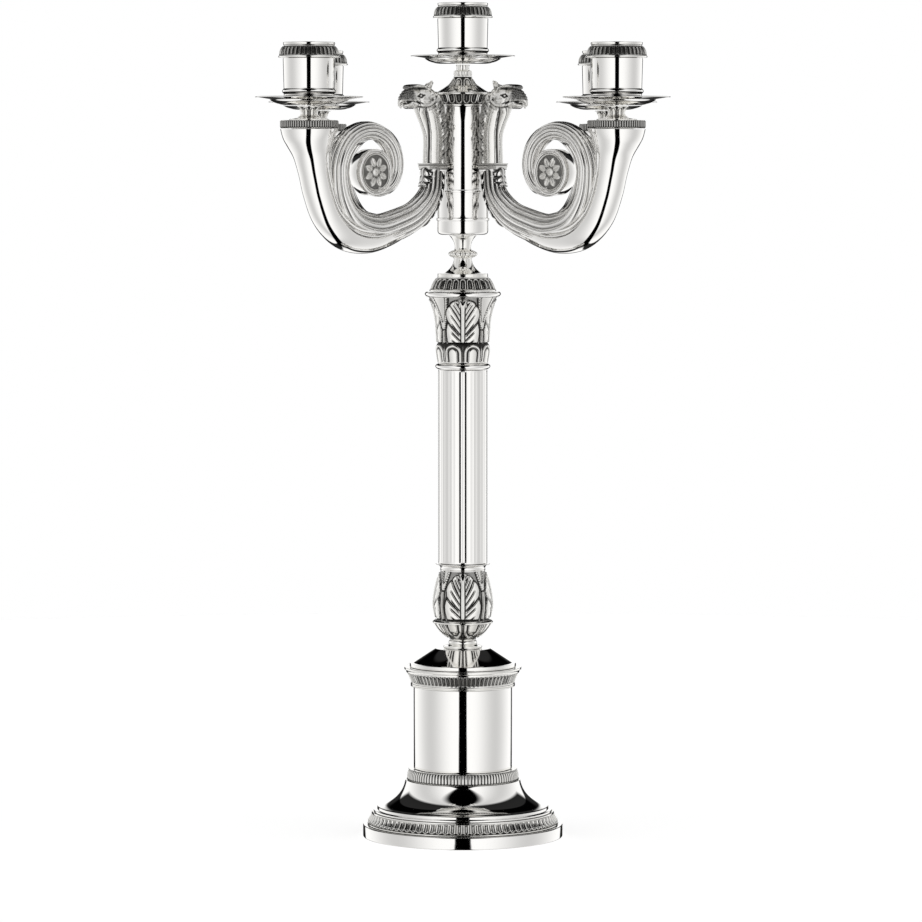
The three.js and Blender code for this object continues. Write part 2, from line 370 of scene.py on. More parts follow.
def write_patina_and_shade(thing: Piece, values: Array | float = 0.0) -> None:
    """Stores how dark each vertex is, from 0 for bright to 1 for black: tarnish, and in places painted
    shade.

    Args:
        thing: The piece.
        values: One value for each vertex, or one for all.
    """
    layer = thing.data.attributes.get("patina_and_shade") or thing.data.attributes.new("patina_and_shade", "FLOAT", "POINT")
    spread = np.broadcast_to(np.clip(values, 0, 1), len(thing.data.vertices))
    layer.data.foreach_set("value", spread.astype(np.float32))


def hollow_patina(thing: Piece, reach: float, rounds: int) -> None:
    """Darkens a mesh where it is hollow, measured against its own smoothed surface.

    Args:
        thing: The object.
        reach: Depth below the smoothed surface that turns fully black, in millimetres.
        rounds: How many rings of neighbours the smoothing takes in.
    """
    points = read_rows(thing, "co")
    ends = np.zeros(len(thing.data.edges) * 2, np.int32)
    thing.data.edges.foreach_get("vertices", ends)
    first, second = ends.reshape(-1, 2).T
    count = np.bincount(first, minlength=len(points)) + np.bincount(second, minlength=len(points))
    smooth = points.copy()
    for _ in range(rounds):
        total = np.zeros_like(smooth)
        for axis in range(3):
            total[:, axis] = np.bincount(first, smooth[second, axis], len(points))
            total[:, axis] += np.bincount(second, smooth[first, axis], len(points))
        smooth = 0.5 * smooth + 0.5 * total / np.maximum(count, 1)[:, None]
    depth = ((smooth - points) * read_rows(thing, "normal")).sum(axis=1)
    write_patina_and_shade(thing, depth / (reach * MM))


def smooth_shade(thing: Piece, angle: float) -> None:
    """Shades a piece smooth, with its edges over the angle in degrees left sharp."""
    pick(thing)
    bpy.ops.object.shade_smooth_by_angle(angle=math.radians(angle))


def joined(name: str, things: list[Piece]) -> Piece:
    """Joins meshes into one object.

    Args:
        name: The new name.
        things: The meshes.

    Returns:
        The joined object.
    """
    whole = pick(*things)
    bpy.ops.object.join()
    whole.name = name
    return whole


def placed(thing: Piece, move: Matrix) -> Piece:
    """Moves a mesh's vertices.

    Args:
        thing: The piece.
        move: Where it goes.

    Returns:
        The same piece.
    """
    thing.data.transform(move)
    thing.data.update()
    return thing


def copied(thing: Piece, name: str, move: Matrix) -> Piece:
    """Copies a piece, with its own mesh.

    Args:
        thing: The piece to copy.
        name: The copy's name.
        move: Where the copy goes.

    Returns:
        The copy.
    """
    twin = thing.copy()
    twin.data = thing.data.copy()
    twin.name = name
    bpy.context.scene.collection.objects.link(twin)
    return placed(twin, move)


def finish_piece(thing: Piece, body: str, finish: Silver | Plain, node: str) -> None:
    """Gives a piece its finish and body, and lets it stand for its CAD node.

    Args:
        thing: The piece.
        body: The body it rides on.
        finish: Its finish.
        node: The CAD node it replaces.
    """
    dress_with(thing, finish)
    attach(thing, body)
    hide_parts(node)
    log.info("%s: %d faces", thing.name, len(thing.data.polygons))


def step(edge0: float, edge1: float, value: Array) -> Array:
    """A smooth rise from 0 at the first edge to 1 at the second."""
    t = np.clip((value - edge0) / (edge1 - edge0), 0, 1)
    return t * t * (3 - 2 * t)


def bump(value: Array, centre: float, width: float) -> Array:
    """A smooth bell of height 1."""
    return np.exp(-(((value - centre) / width) ** 2))


def dome(value: Array) -> Array:
    """A half-circle over -1 to 1, and 0 outside."""
    return np.sqrt(np.clip(1 - value**2, 0, 1))


# ---------------------------------------------------------------- relief


class Motif(Enum):
    """Ornaments that repeat round a turned piece."""

    REED = "reed"
    FLUTE = "flute"
    TONGUE = "tongue"
    EGG = "egg"
    GADROON = "gadroon"
    LEAF = "leaf"


@dataclass(frozen=True)
class Repeat:
    """One repeat of a band: each point's place across, -1 to 1, and up, 0 to 1, and its height.

    The height is in half widths of the repeat. Each ornament gives a height for every point, 0 at
    the ground and about 1 at its top.
    """

    u: Array
    v: Array
    tall: float

    def ends(self) -> Array:
        """Rounds off both ends of a rod as wide as the repeat."""
        return dome(np.clip(np.abs(self.v - 0.5) * 2 * self.tall - self.tall + 1, 0, 1))

    def arch(self, half: float) -> Array:
        """Measures the distance to an upright arch with a round top.

        Args:
            half: Half width of the arch.

        Returns:
            Negative inside the arch and positive outside.
        """
        spring = 1 - (half + 0.12) / self.tall
        rise = np.maximum(self.v - spring, 0) * self.tall
        return np.hypot(self.u, rise) - half

    def tongue(self) -> Array:
        """Draws a tongue with a raised border and a low belly, and a dart between it and the next.

        Returns:
            The ornament's height.
        """
        inside = self.arch(0.86)
        border = bump(inside, -0.12, 0.13)
        belly = step(-0.32, -0.5, inside) * (0.35 + 0.4 * dome(self.u / 0.7))
        dart = 0.75 * bump(np.abs(self.u), 1.0, 0.05) * step(1.0, 0.6, self.v)
        return np.maximum.reduce([border, belly, dart])

    def egg(self) -> Array:
        """Draws a deep tongue with a thin border and a narrow spine in its hollow.

        Returns:
            The ornament's height.
        """
        border = bump(self.arch(0.84), -0.1, 0.16)
        spine = 0.6 * bump(self.u, 0, 0.16) * step(0.0, 0.25, self.v) * step(0.85, 0.6, self.v)
        lip = 0.9 * step(0.12, 0.02, self.v)
        return np.maximum.reduce([border, spine, lip])

    def leaf(self, split: float) -> Array:
        """Draws an acanthus leaf in the middle of the repeat, and a lancet between it and the next.

        Args:
            split: Height at which the lancet opens out, 0 to 1.

        Returns:
            The ornament's height.
        """
        side, v = np.abs(self.u), self.v
        course = (v - 0.45 * side) / (1 + 0.9 * side)
        tier = (course + 0.22) * 3.3
        lobe = np.abs(np.sin(np.pi * tier)) ** 0.55
        crown = np.sqrt(np.clip(1 - np.clip((v - 0.5) / 0.45, 0, 1) ** 2.4, 0, 1))
        edge = (0.7 + 0.12 * lobe) * crown
        within = step(0.0, 0.04, edge - side) * step(0.0, 0.03, v)
        share = side / np.maximum(edge, 0.05)
        slit = np.abs((course * 8.2) - np.round(course * 8.2))
        notch = bump(slit, 0, 0.095) * step(0.74, 0.6, share) * step(0.1, 0.16, side)
        seam = bump(np.abs(tier - np.round(tier)), 0, 0.045) * step(0.12, 0.3, side)
        swell = 0.66 + 0.26 * lobe * step(0.3, 0.8, share) + 0.1 * slit
        body = swell - 0.95 * notch - 0.85 * seam
        body -= 0.6 * bump(side, 0.2, 0.05) * bump(v, 0.84, 0.025)
        rib = 0.86 * bump(side, 0, 0.058) * step(0.94, 0.8, v)
        trench = 0.75 * bump(side, 0.1, 0.018) * step(0.88, 0.7, v)
        leaf = within * np.maximum(body - trench, rib)
        gap = 1 - side
        half = 0.04 + 0.62 * np.maximum(v - split, 0) * (1 - 0.2 * v)
        inset = half - gap
        groove = bump(inset, 0.09, 0.026) * step(0, 0.08, v - split - 0.12)
        lancet = step(-0.01, 0.02, inset) * (0.96 - 0.9 * groove - 0.25 * step(0.1, 0.14, inset))
        lancet *= (1 - 0.85 * bump(v, split, 0.014)) * (side > edge + 0.02) * step(0.0, 0.03, v)
        away = np.minimum(np.clip(side - edge, 0, 1), np.clip(-inset, 0, 1))
        ground = 0.42 * step(0.03, 0.1, away)
        return np.clip(np.maximum.reduce([leaf, lancet, ground]), 0, 1.2)


@dataclass(frozen=True)
class Relief:
    """One band of ornament round a turned piece, between two heights above its underside.

    The soot is the two levels of the ornament between which it turns from bright to black.
    """

    motif: Motif
    count: int
    low: float
    high: float
    depth: float
    phase: float = 0.0
    downwards: bool = False
    rows: int = 16
    samples: int = 12
    soot: tuple[float, float] = (0.8, 0.15)
    split: float = 0.6

    def row_heights(self) -> list[float]:
        """Lists the heights that need a row of vertices.

        Returns:
            Heights in millimetres above the underside.
        """
        span = self.high - self.low
        if self.motif is Motif.FLUTE:
            ends = [0, 0.1, 0.25, 0.45, 0.7, 1.0, 1.4]
            middle = [self.low + span * i / 14 for i in range(1, 14)]
            return [self.low + e for e in ends] + middle + [self.high - e for e in reversed(ends)]
        return [self.low + span * i / self.rows for i in range(self.rows + 1)]

    def height(self, turn: Array, v: Array, radius: float) -> Array:
        """Gives the height of the ornament, 0 at the ground and about 1 at its top.

        Args:
            turn: Angle round the axis, in radians.
            v: Place up the zone, 0 to 1.
            radius: Mean radius of the zone, in millimetres.

        Returns:
            One height for each point.
        """
        cycle = turn * self.count / (2 * math.pi) + self.phase
        u = 2 * (cycle - np.floor(cycle)) - 1
        v = 1 - v if self.downwards else v
        tall = (self.high - self.low) / (math.pi * radius / self.count)
        repeat = Repeat(u, v, tall)
        if self.motif is Motif.REED:
            return dome(u * 0.97) * repeat.ends()
        if self.motif is Motif.FLUTE:
            return 1 - dome(u / 0.86) * repeat.ends()
        if self.motif is Motif.GADROON:
            return dome(u * 0.96)
        if self.motif is Motif.TONGUE:
            return repeat.tongue()
        if self.motif is Motif.EGG:
            return repeat.egg()
        return repeat.leaf(self.split)


# ---------------------------------------------------------------- turned pieces


BOW_PARTS = 14
CLOSE = 0.004
TINY = 1e-6
SHARP = math.radians(28)
PLAIN_EDGE, CHASED_EDGE = 42.0, 70.0
FACING_OUT, NEAR_AXIS = 0.12, 0.2


def outline_points(stops: tuple, reliefs: tuple[Relief, ...], corner: float) -> list[tuple]:
    """Turns an outline's stops into the points that are spun.

    Args:
        stops: Radius, height and optional bow (how far the stretch to here bulges outwards).
        reliefs: Bands of ornament, whose rows are added.
        corner: Radius of the rounding at each corner, in millimetres.

    Returns:
        Radius and height pairs in millimetres. A closed outline ends where it starts.
    """
    closed = stops[0][0] > 0
    ring = [*stops, stops[0]] if closed else list(stops)
    dense: list[tuple] = [(ring[0][0], ring[0][1], True)]
    for before, after in zip(ring, ring[1:]):
        bow = after[2] if len(after) > 2 and after is not ring[0] else 0.0
        dr, dh = after[0] - before[0], after[1] - before[1]
        length = math.hypot(dr, dh) or 1.0
        marks = {1.0}
        if bow:
            marks.update(i / BOW_PARTS for i in range(1, BOW_PARTS))
        if dh > 0:
            for relief in reliefs:
                for row in relief.row_heights():
                    if before[1] + TINY < row < after[1] - TINY:
                        marks.add((row - before[1]) / dh)
        last = 0.0
        for t in sorted(marks):
            if t < 1 and (t - last < CLOSE or 1 - t < CLOSE):
                continue
            swell = 4 * bow * t * (1 - t)
            dense.append((before[0] + dr * t + swell * dh / length,
                          before[1] + dh * t - swell * dr / length, t == 1.0))
            last = t
    rounded: list[tuple] = []
    final = len(dense) - 1
    for i, (r, h, is_stop) in enumerate(dense):
        if i in (0, final) or not is_stop or corner <= 0:
            rounded.append((r, h))
            continue
        a, b = dense[i - 1], dense[i + 1]
        into, out = Vector((r - a[0], h - a[1])), Vector((b[0] - r, b[1] - h))
        if min(into.length, out.length) < TINY or into.angle(out) < SHARP:
            rounded.append((r, h))
            continue
        cut = min(corner, into.length * 0.4, out.length * 0.4)
        enter = Vector((r, h)) - into.normalized() * cut
        leave = Vector((r, h)) + out.normalized() * cut
        middle = (enter + leave) / 4 + Vector((r, h)) / 2
        rounded += [tuple(enter), tuple(middle), tuple(leave)]
    return rounded


def lathe(name: str, outline: list[tuple], steps: int) -> Piece:
    """Turns an outline a full circle about the vertical axis.

    Args:
        name: The object's name.
        outline: Radius and height pairs in metres.
        steps: How many sides the circle has.

    Returns:
        The turned mesh, closed, with its normals outwards.
    """
    edges = [(i, i + 1) for i in range(len(outline) - 1)]
    thing = new_object(name, [(r, 0, h) for r, h in outline], edges, [])
    modify(thing, "SCREW", steps=steps, render_steps=steps, use_merge_vertices=True, merge_threshold=WELD)
    face_outwards(thing, WELD)
    return thing


@dataclass(frozen=True)
class Turned:
    """A piece spun from its outline on a vertical axis, with bands of relief.

    The outline is a stop for each corner, as outline_points takes them, above the underside.
    """

    node: str
    outline: tuple
    slot: Slot = Slot.POLISHED
    finish: Silver | Plain = MIRROR
    reliefs: tuple[Relief, ...] = ()
    steps: int = 128
    corner: float = 0.25
    body: str = Body.BASE.value

    def build(self) -> None:
        """Spins the outline, chases the relief and dresses the piece in its CAD node's place."""
        low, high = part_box(self.node)
        foot = Vector(((low.x + high.x) / 2, (low.y + high.y) / 2, low.z))
        path = outline_points(self.outline, self.reliefs, self.corner)
        steps = max([self.steps] + [relief.count * relief.samples for relief in self.reliefs])
        piece = lathe(f"{self.node}_finished", [(r * MM, h * MM) for r, h in path], steps)
        placed(piece, Matrix.Translation(foot))
        if self.reliefs:
            self._chase(piece, foot)
        smooth_shade(piece, CHASED_EDGE if self.reliefs else PLAIN_EDGE)
        finish_piece(piece, self.body, self.finish, self.node)

    def _chase(self, piece: Piece, foot: Vector) -> None:
        """Sinks the ground of each ornament and blackens it.

        Args:
            piece: The spun piece.
            foot: The middle of its underside.
        """
        points, facing = read_rows(piece, "co"), read_rows(piece, "normal")
        local = (points - np.array(foot)) / MM
        radius = np.hypot(local[:, 0], local[:, 1])
        turn = np.arctan2(local[:, 1], local[:, 0])
        outward = (facing[:, :2] * local[:, :2]).sum(axis=1) / np.maximum(radius, TINY)
        dark, sink = np.zeros((2, len(points)))
        for relief in self.reliefs:
            zone = (local[:, 2] > relief.low - 1e-4) & (local[:, 2] < relief.high + 1e-4)
            zone &= (outward > FACING_OUT) & (radius > NEAR_AXIS * radius.max())
            v = (local[zone, 2] - relief.low) / (relief.high - relief.low)
            level = relief.height(turn[zone], v, float(radius[zone].mean()))
            sink[zone] = relief.depth * (1 - level)
            dark[zone] = step(*relief.soot, level)
        put(piece, points - facing * (sink * MM)[:, None])
        write_patina_and_shade(piece, dark)


class Assembly:
    """A sub-assembly of turned pieces."""

    def pieces(self) -> tuple[Turned, ...]:
        """Lists the turned pieces, from the lowest up."""
        raise NotImplementedError

    def build(self) -> None:
        """Builds every turned piece."""
        for piece in self.pieces():
            piece.build()


# ---------------------------------------------------------------- base and column


@dataclass(frozen=True)
class Plinth(Assembly):
    """The foot, the drum and the polished cone that carries the column."""

    eggs: int = 86
    reeds: int = 102
    tongues: int = 76

    def pieces(self) -> tuple[Turned, ...]:
        """Lists the shells, from the foot up.

        Returns:
            The turned pieces.
        """
        egg_band = Relief(Motif.EGG, self.eggs, 0.9, 7.4, 0.8, 0.5, downwards=True, samples=10,
                          soot=(0.4, 0.0))
        reed_band = Relief(Motif.REED, self.reeds, 0.7, 6.6, 0.9, rows=8, samples=10, soot=(1.0, 0.6))
        tongue_band = Relief(Motif.EGG, self.tongues, 2.5, 9.5, 0.9, rows=14, samples=10,
                             soot=(0.85, 0.2))
        return (
            Turned("foot", ((61, 0), (65.7, 0), (66.2, 0.5), (66.2, 7.7), (65.7, 8.2), (61, 8.2)),
                   steps=192),
            Turned("foot_band", ((57, 0), (63.2, 0), (63.2, 0.5), (62.8, 0.9), (62.3, 3.4, 0.35),
                                 (60.6, 7.3, -0.35), (60.2, 7.6), (60.2, 8.3), (57, 8.3)),
                   Slot.RELIEF, RELIEF, (egg_band,)),
            Turned("foot_dome", ((55, 0), (59.2, 0), (59.2, 1.1), (56.7, 1.4), (56.7, 3.1), (55.7, 3.4),
                                 (47.6, 6.4, -0.4), (38.3, 19.4, -1.7), (38.1, 20.6), (35.6, 20.6),
                                 (41.2, 10.2), (47, 3.8), (54.4, 1.6)), steps=192),
            Turned("reeded_ring", ((30.6, 0), (37.3, 0), (37.3, 0.8), (36.8, 1), (35.7, 6.3, 0.5),
                                   (36, 6.5), (36, 7.2), (30.6, 7.2)),
                   Slot.RELIEF, RELIEF, (reed_band,)),
            Turned("plinth_drum", ((31.2, 0), (32.6, 0), (32.6, 54.1), (31.2, 54.1)), steps=192),
            Turned("plinth_collar", ((30, 0), (34.2, 0), (34.2, 1.1, 0.4), (34.2, 2.2, 0.4), (34.3, 2.4),
                                     (37.5, 9.6, -0.3), (37.6, 9.8), (38.6, 11.3, -0.3), (38.8, 11.5),
                                     (38.8, 12.8), (30, 12.8)),
                   Slot.RELIEF, RELIEF, (tongue_band,), steps=192),
            Turned("plinth_cap", ((3.5, 0), (35.2, 0), (35.2, 2.5), (32.8, 2.5), (18.5, 11.6),
                                  (18.1, 11.9), (3.5, 11.9)), steps=192),
        )


@dataclass(frozen=True)
class Column(Assembly):
    """The leaf baluster, the fluted shaft and the capital."""

    flutes: int = 40
    tongues: int = 8
    leaves: int = 4
    leaf_turn: float = 0.5

    def pieces(self) -> tuple[Turned, ...]:
        """Lists the column's parts, from the plinth up.

        Returns:
            The turned pieces.
        """
        bowl = Relief(Motif.TONGUE, self.tongues, 5.8, 16.6, 1.1, downwards=True, rows=24, samples=44)
        foliage = Relief(Motif.LEAF, self.leaves, 19.4, 51.9, 1.8, self.leaf_turn, rows=80, samples=88)
        necking = Relief(Motif.TONGUE, self.tongues, 0.5, 13.0, 1.2, rows=28, samples=44)
        crown = Relief(Motif.LEAF, self.leaves, 13.0, 42.9, 1.8, self.leaf_turn, rows=80, samples=88,
                       split=0.3)
        channels = Relief(Motif.FLUTE, self.flutes, 0.9, 126.7, 0.13, samples=10, soot=(0.2, -0.6))
        return (
            Turned("baluster", ((3.5, 0), (12.5, 0), (12.7, 1.5, 0.2), (9, 2.2, -0.5), (8.9, 4.9, 0.4),
                                (8.3, 5.3), (8.6, 5.7), (19.3, 16.6, 1.2), (20, 17), (20, 17.7),
                                (19, 18.4), (18.7, 19.5), (20.4, 28.8, 0.2), (15.4, 51.9, 1),
                                (15.1, 52.4), (3.5, 52.4)), Slot.RELIEF, RELIEF, (bowl, foliage)),
            Turned("lower_ring", ((3.5, 0), (14.8, 0), (14.8, 2.3), (15, 2.5), (17.7, 4.2, -0.5),
                                  (18, 4.5), (17.9, 4.8), (3.5, 4.8))),
            Turned("fluted_shaft", ((14.6, 0), (16.2, 0), (16.2, 127.6), (14.6, 127.6)),
                   reliefs=(channels,)),
            Turned("upper_ring", ((3.5, 0), (16.3, 0), (16.3, 4.1, 1.9), (3.5, 4.1))),
            Turned("capital", ((3.5, 0), (16.4, 0), (16.8, 0.4), (18.2, 12.4, 0.3), (17.8, 12.9),
                               (18.4, 22), (23.6, 42.9, -1.3), (23.8, 43.4), (9.5, 43.4), (9.5, 9.7),
                               (3.5, 9.7)), Slot.RELIEF, RELIEF, (necking, crown)),
            Turned("abacus_ring", ((8.2, 0), (24.2, 0), (24.2, 3.1, 0.9), (8.2, 3.1))),
        )


@dataclass(frozen=True)
class Hub(Assembly):
    """The middle of the lift-off branch, from its spigot to the centre light's stem."""

    gadroons: int = 26
    knop_lobes: int = 12
    cap_leaves: int = 8
    eggs: int = 20

    def pieces(self) -> tuple[Turned, ...]:
        """Lists the hub's parts, from the spigot up.

        Returns:
            The turned pieces.
        """
        branch = Body.BRANCH.value
        cap = Relief(Motif.EGG, self.gadroons, 1.3, 8.8, 0.9, rows=20, samples=18, soot=(0.85, 0.2))
        lobes = Relief(Motif.GADROON, self.knop_lobes, 0.7, 5.5, 1.0, rows=18, samples=16,
                       soot=(0.6, 0.0))
        eggs = Relief(Motif.EGG, self.eggs, 1.3, 7.5, 0.9, downwards=True, rows=22, samples=24,
                      soot=(0.95, 0.3))
        collar = Relief(Motif.GADROON, self.knop_lobes, 0.3, 3.4, 0.6, rows=12, samples=14,
                        soot=(0.6, 0.0))
        foliage = Relief(Motif.TONGUE, self.cap_leaves, 4.3, 10.0, 0.7, rows=24, samples=28,
                         soot=(0.95, 0.3))
        return (
            Turned("spigot", ((0, 0), (6, 0), (7.2, 1.5), (7.2, 38.5), (0, 38.5)), Slot.STEEL, STEEL,
                   body=Body.SPIGOT.value),
            Turned("branch_cap", ((0, 11), (7.6, 11), (7.6, 0), (22, 0), (22, 0.9), (21.5, 1.2),
                                  (17.6, 8.7, 0.5), (17, 9.2), (16.6, 9.3), (16.6, 11.5), (15.7, 11.6),
                                  (5.8, 20.6, -2.4), (5.8, 21), (0, 21)),
                   Slot.RELIEF, RELIEF, (cap,), body=branch),
            Turned("knop_stem", ((0, 0), (6, 0), (6.2, 0.6), (6.2, 5.6, 3.6), (5.6, 5.8), (5.2, 7),
                                 (8.8, 14.9, -0.9), (8.8, 15.4), (0, 15.4)),
                   Slot.POLISHED, RELIEF, (lobes,), body=branch),
            Turned("hub_drum", ((0, 0), (14.4, 0), (16.7, 2.3, 0.6), (16.7, 9.1), (17.4, 9.3),
                                (17.4, 10.9), (16.6, 11.1), (16.6, 27.7), (17, 27.8), (17, 29.2),
                                (14.4, 29.2), (14.4, 2.6), (0, 2.6)), body=branch),
            Turned("hub_tube", ((14.4, 0), (15.9, 0), (15.9, 54.4), (14.4, 54.4)), body=branch),
            Turned("hub_crown", ((12.5, 0), (16.3, 0), (16.3, 1), (15.9, 1.2), (18.3, 7.5, -0.5),
                                 (19.4, 7.8), (19.5, 8.7), (12.5, 8.7)),
                   Slot.RELIEF, RELIEF, (eggs,), body=branch),
            Turned("hub_cap", ((0, 0), (18.5, 0), (10.8, 4.2, -0.2), (7.6, 7.7, -0.4), (6.3, 10.3, -0.2),
                               (0, 10.3)), Slot.POLISHED, RELIEF, (foliage,), body=branch),
            Turned("centre_stem", ((0, 0), (5.7, 0), (5.7, 3.5, 0.4), (4.3, 3.9), (4.4, 7.1, -0.2),
                                   (4.8, 7.4), (0, 7.4)), Slot.POLISHED, RELIEF, (collar,), body=branch),
        )


# ---------------------------------------------------------------- lights


@dataclass(frozen=True)
class Light(Assembly):
    """A drip pan, its candle cup and the nozzle that lifts out of the cup, at a named place."""

    place: str
    tongues: int = 40

    def pieces(self) -> tuple[Turned, ...]:
        """Lists the light's parts, from the pan up.

        Returns:
            The turned pieces.
        """
        branch = Body.BRANCH.value
        skirt = Relief(Motif.EGG, self.tongues, 22.9, 29.0, 0.8, rows=10, samples=8, soot=(1.22, 0.6))
        return (
            Turned(f"drip_pan_{self.place}", (
                (0, 0), (13, 0), (19.6, 0.9, 0.3), (25.4, 3.8, 0.4), (34.2, 5.2), (34.4, 5.5),
                (34.2, 5.8), (25, 4.8), (19.2, 2.2, -0.4), (13, 1.4), (0, 1.4)), body=branch),
            Turned(f"candle_cup_{self.place}", (
                (0, 0), (12.4, 0), (16, 3.1, 0.6), (16.1, 5.6), (16.3, 5.9), (16.3, 9, 0.9), (16.2, 9.2),
                (16.7, 28.1), (16.6, 28.3), (13.4, 28.3), (13.2, 28.1), (13.2, 6.3), (0, 6.3)),
                body=branch),
            Turned(f"nozzle_{self.place}", (
                (0, 0), (12.3, 0), (12.6, 0.4), (12.6, 21.3), (19.4, 21.3), (19.6, 22.3), (19, 22.8),
                (16.6, 28.9, 0.8), (16.0, 29.2), (16.5, 29.6), (16.5, 31.1), (11.9, 31.1), (11.5, 30.8),
                (11.5, 1.4), (0, 1.4)),
                Slot.RELIEF, RELIEF, (skirt,), body=f"nozzle_{self.place}"),
        )


# ---------------------------------------------------------------- arms


def spline(knots: tuple, count: int) -> Array:
    """Runs a smooth curve through knots, evenly by distance over their first two columns.

    Args:
        knots: Rows of numbers, of which the first two are a place.
        count: How many rows to return.

    Returns:
        The curve's rows.
    """
    table = np.asarray(knots, float)
    gaps = np.hypot(*np.diff(table[:, :2], axis=0).T)
    marks = np.concatenate([[0], np.cumsum(gaps)])
    slopes = np.gradient(table, marks, axis=0)
    at = np.linspace(0, marks[-1], count)
    i = np.clip(np.searchsorted(marks, at, side="right") - 1, 0, len(gaps) - 1)
    h = gaps[i][:, None]
    t = (at[:, None] - marks[i][:, None]) / h
    return ((2 * t**3 - 3 * t**2 + 1) * table[i] + (t**3 - 2 * t**2 + t) * h * slopes[i]
            + (3 * t**2 - 2 * t**3) * table[i + 1] + (t**3 - t**2) * h * slopes[i + 1])


def beside(line: Array, inward: Array, across: Array) -> Array:
    """Places points about a curve that lies in the plane of an arm.

    Args:
        line: The curve, whose first two columns are distance out and height.
        inward: How far each row's points lie to the left of the curve, in its plane.
        across: How far they lie across the plane.

    Returns:
        A place for each point, in rows as the curve's.
    """
    travel = np.gradient(line[:, :2], axis=0)
    travel /= np.hypot(*travel.T)[:, None]
    return np.stack([line[:, 0, None] - travel[:, 1, None] * inward, across,
                     line[:, 1, None] + travel[:, 0, None] * inward], axis=-1)


def squarish(around: Array, power: float) -> Array:
    """Shares for a section that is round at a power of 2 and squarer above it."""
    return (np.abs(np.cos(around)) ** power + np.abs(np.sin(around)) ** power) ** (-1 / power)


def swept(name: str, rows: Array, section: Array) -> Piece:
    """Sweeps a section along a curve that lies in the plane of an arm.

    Args:
        name: The object's name.
        rows: Distance out, height, half size in the plane and half size across, in millimetres.
        section: Shares of the half size round the section, one for each point. It may have one
            row for every row of the curve.

    Returns:
        The closed sweep, along +X.
    """
    around = np.linspace(0, 2 * math.pi, section.shape[-1], endpoint=False)
    share = np.broadcast_to(section, (len(rows), section.shape[-1]))
    points = beside(rows, rows[:, 2, None] * np.cos(around) * share,
                    rows[:, 3, None] * np.sin(around) * share)
    n, m = points.shape[:2]
    ends = [(rows[0, 0], 0, rows[0, 1]), (rows[-1, 0], 0, rows[-1, 1])]
    faces = quads(n, m)
    faces += [(n * m, (j + 1) % m, j) for j in range(m)]
    faces += [(n * m + 1, (n - 1) * m + j, (n - 1) * m + (j + 1) % m) for j in range(m)]
    thing = new_object(name, np.vstack([points.reshape(-1, 3), ends]) * MM, [], faces)
    face_outwards(thing)
    return thing


def at_eye(eye: tuple[float, float], side: int = 1) -> Matrix:
    """Where a part drawn on the upright axis goes to lie across an arm, through its volute's eye."""
    return (Matrix.Translation(Vector((eye[0], 0, eye[1])) * MM)
            @ Matrix.Rotation(side * QUARTER_TURN, 4, "X"))


@dataclass(frozen=True)
class Leaf:
    """A serrated leaf that lies along an arm from its collar.

    Its middle is an angle round the arm, and its spread how far it reaches on each side.
    """

    middle: float
    spread: float
    length: float
    lobes: int
    lift: float = 0.5
    curl: float = 1.2
    dark: float = 0.1
    thickness: float = 0.5

    def build(self, rows: Array) -> Piece:
        """Lays the leaf on the arm.

        Args:
            rows: The arm's curve, as for a sweep.

        Returns:
            The leaf, with its veins blackened.
        """
        n, m = 60, 27
        along = np.linspace(0, 1, n)[:, None]
        side = np.linspace(-1, 1, m)[None, :]
        reach = np.concatenate([[0], np.cumsum(np.hypot(*np.diff(rows[:, :2], axis=0).T))])
        at = along[:, 0] * self.length
        line = np.stack([np.interp(at, reach, rows[:, k]) for k in range(4)], axis=1)
        tooth = along * self.lobes
        saw = tooth - np.floor(tooth)
        width = self.spread * (1 - along**2.2) * (0.62 + 0.38 * (1 - saw))
        angle = self.middle + side * width
        vein = np.abs(np.sin(np.pi * (tooth - 0.6 * np.abs(side))))
        off_rib = step(0.1, 0.3, np.abs(side))
        crest = 0.35 * bump(side, 0, 0.12) + 0.3 * vein**0.7 * off_rib
        crest = crest + 0.55 * np.sin(np.pi * saw)
        height = self.lift + crest + self.curl * along**4 + 0.25 * np.abs(side) ** 3
        points = beside(line, np.cos(angle) * (line[:, 2, None] + height),
                        np.sin(angle) * (line[:, 3, None] + height))
        points[..., 2] -= np.abs(side) * 0.05
        leaf = new_object("leaf", points.reshape(-1, 3) * MM, [], quads(n, m, closed=False))
        write_patina_and_shade(leaf, (self.dark + step(0.65, 0.15, vein) * off_rib
                            + 0.9 * bump(np.abs(side), 0.17, 0.07)).ravel())
        modify(leaf, "SOLIDIFY", thickness=self.thickness * MM, offset=0.0)
        return leaf


